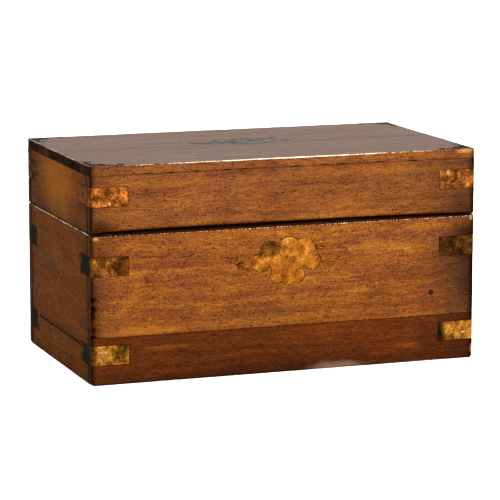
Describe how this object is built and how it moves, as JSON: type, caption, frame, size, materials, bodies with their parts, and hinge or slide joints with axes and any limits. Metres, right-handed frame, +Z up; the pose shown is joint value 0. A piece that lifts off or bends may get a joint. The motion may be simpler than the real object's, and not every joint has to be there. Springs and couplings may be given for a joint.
{
  "type": "campaign chest",
  "caption": "Lidded wooden campaign chest with let-in brass corner straps, scrolled brass inlays and a rear-hinged lid that opens past upright.",
  "frame": {"origin": "centre of the closed chest's footprint, on the surface it stands on", "axes": "+Z up, +X to the right seen from the front and along the chest's length, the front faces -Y"},
  "size_m": [0.9, 0.508, 0.48],
  "materials": {
    "mahogany": "worn wax over stained mahogany",
    "plain_wood": "bare planed",
    "tarnished_brass": "hammered and tarnished",
    "steel": "dull",
    "iron": "dark forged"
  },
  "bodies": {
    "chest": {"back_lower_board": "mahogany", "back_upper_board": "mahogany", "base_hinge_screws": "steel", "base_lower_strap_back_left": "tarnished_brass", "base_lower_strap_back_right": "tarnished_brass", "base_lower_strap_front_left": "tarnished_brass", "base_lower_strap_front_right": "tarnished_brass", "base_strap_pins": "tarnished_brass", "base_upper_strap_back_left": "tarnished_brass", "base_upper_strap_back_right": "tarnished_brass", "base_upper_strap_front_left": "tarnished_brass", "base_upper_strap_front_right": "tarnished_brass", "bottom_back_board": "plain_wood", "bottom_front_board": "plain_wood", "bottom_middle_board": "plain_wood", "bottom_nails": "iron", "front_cartouche": "tarnished_brass", "front_lip": "plain_wood", "front_lower_board": "mahogany", "front_upper_board": "mahogany", "hinge_left_base_leaf": "tarnished_brass", "hinge_left_pin": "steel", "hinge_right_base_leaf": "tarnished_brass", "hinge_right_pin": "steel", "left_lip": "plain_wood", "left_lower_board": "mahogany", "left_upper_board": "mahogany", "right_lip": "plain_wood", "right_lower_board": "mahogany", "right_upper_board": "mahogany"},
    "lid": {"hinge_left_lid_leaf": "tarnished_brass", "hinge_right_lid_leaf": "tarnished_brass", "lid_back_rail": "mahogany", "lid_cartouche": "tarnished_brass", "lid_corner_inlay_back_left": "tarnished_brass", "lid_corner_inlay_back_right": "tarnished_brass", "lid_corner_inlay_front_left": "tarnished_brass", "lid_corner_inlay_front_right": "tarnished_brass", "lid_front_rail": "mahogany", "lid_hinge_screws": "steel", "lid_left_rail": "mahogany", "lid_right_rail": "mahogany", "lid_strap_back_left": "tarnished_brass", "lid_strap_back_right": "tarnished_brass", "lid_strap_front_left": "tarnished_brass", "lid_strap_front_right": "tarnished_brass", "lid_strap_pins": "tarnished_brass", "lid_top_back_board": "mahogany", "lid_top_front_board": "mahogany"}
  },
  "joints": [
    {"name": "lid_hinge", "type": "hinge", "parent": "chest", "child": "lid", "pos_m": [0, 0.2485, 0.33025], "axis": [-1, 0, 0], "range_deg": [0, 100]}
  ]
}
